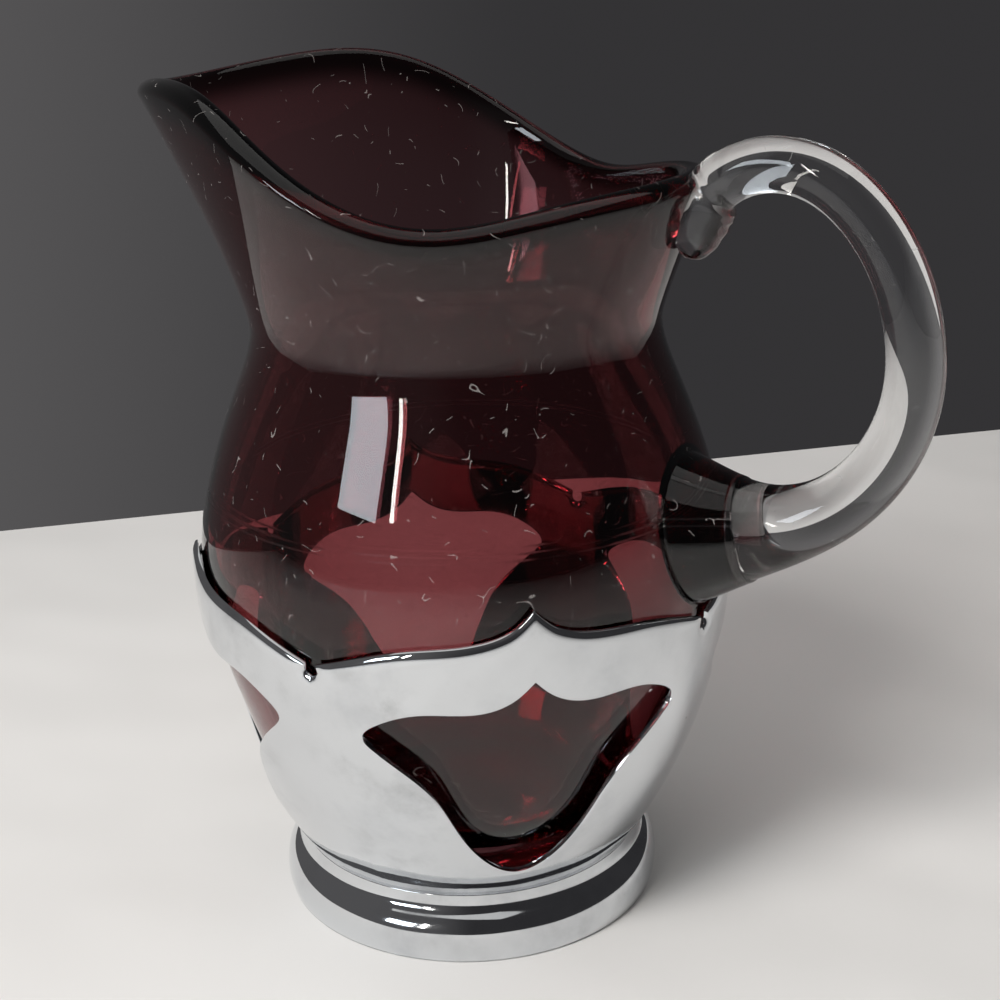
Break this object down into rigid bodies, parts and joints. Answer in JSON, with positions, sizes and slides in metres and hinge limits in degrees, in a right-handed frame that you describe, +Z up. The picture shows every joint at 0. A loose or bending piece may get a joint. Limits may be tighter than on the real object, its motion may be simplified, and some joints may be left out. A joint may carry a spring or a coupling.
{
  "type": "glass pitcher",
  "caption": "Small purple glass pitcher with a flared pouring lip and a clear loop handle, standing in a footed openwork chrome holder that it lifts out of.",
  "frame": {"origin": "centre of the foot's round resting ring, in the plane it stands on", "axes": "+Z up along the vessel's axis, +X towards the handle, -X towards the pouring lip"},
  "size_m": [0.1085, 0.0742, 0.1151],
  "materials": {
    "chrome": "polished plate, lightly worn",
    "amethyst_glass": "dark purple blown glass, fire polished",
    "clear_glass": "clear drawn glass, fire polished"
  },
  "bodies": {
    "holder": {"holder_foot": "chrome", "holder_cup": "chrome"},
    "glass": {"glass_vessel": "amethyst_glass", "handle": "clear_glass"}
  },
  "joints": [
    {"name": "glass_lift", "type": "slide", "parent": "holder", "child": "glass", "axis": [0, 0, 1], "range_m": [0, 0.06]}
  ]
}
